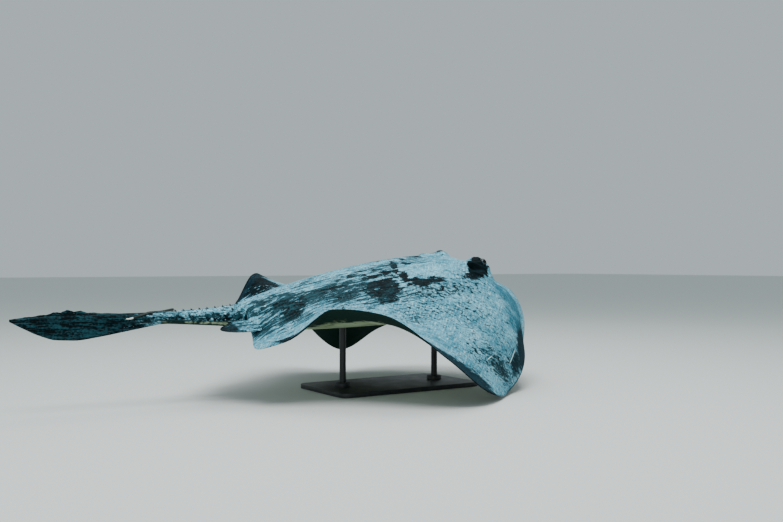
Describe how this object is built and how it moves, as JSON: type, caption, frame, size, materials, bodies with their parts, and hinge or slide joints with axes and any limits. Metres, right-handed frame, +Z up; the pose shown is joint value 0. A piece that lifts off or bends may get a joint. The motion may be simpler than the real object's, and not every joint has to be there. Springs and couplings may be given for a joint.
{
  "type": "stingray",
  "caption": "Life-size round-bodied stingray gliding low, both fins bent down and a wave running along them, deep tail fold and sting, held on a flat base with two rods.",
  "frame": {"origin": "middle of the stand base's underside, on the floor", "axes": "+X towards the snout, +Y to the ray's left, +Z up"},
  "size_m": [1.7908, 1.1314, 0.479],
  "materials": {
    "skin": "wet satin skin, blue-grey dusting over near-black above, cream below",
    "tail_skin": "wet satin near-black skin",
    "sting": "dull bone",
    "eye": "glossy cornea",
    "stand": "satin black powder coat"
  },
  "bodies": {
    "root": {"head": "skin", "snout": "skin", "trunk": "skin", "tail_root": "skin", "pectoral_fin_left_front": "skin", "pectoral_fin_left_middle": "skin", "pectoral_fin_left_rear": "skin", "pectoral_fin_right_front": "skin", "pectoral_fin_right_middle": "skin", "pectoral_fin_right_rear": "skin", "pelvic_fin_left": "skin", "pelvic_fin_right": "skin", "tail_base": "skin", "tail_rear": "tail_skin", "tail_fold": "tail_skin", "sting": "sting", "eye_left": "eye", "eye_right": "eye", "stand_base": "stand", "stand_rod_front": "stand", "stand_rod_rear": "stand", "stand_collar_front": "stand", "stand_collar_rear": "stand"}
  },
  "joints": []
}
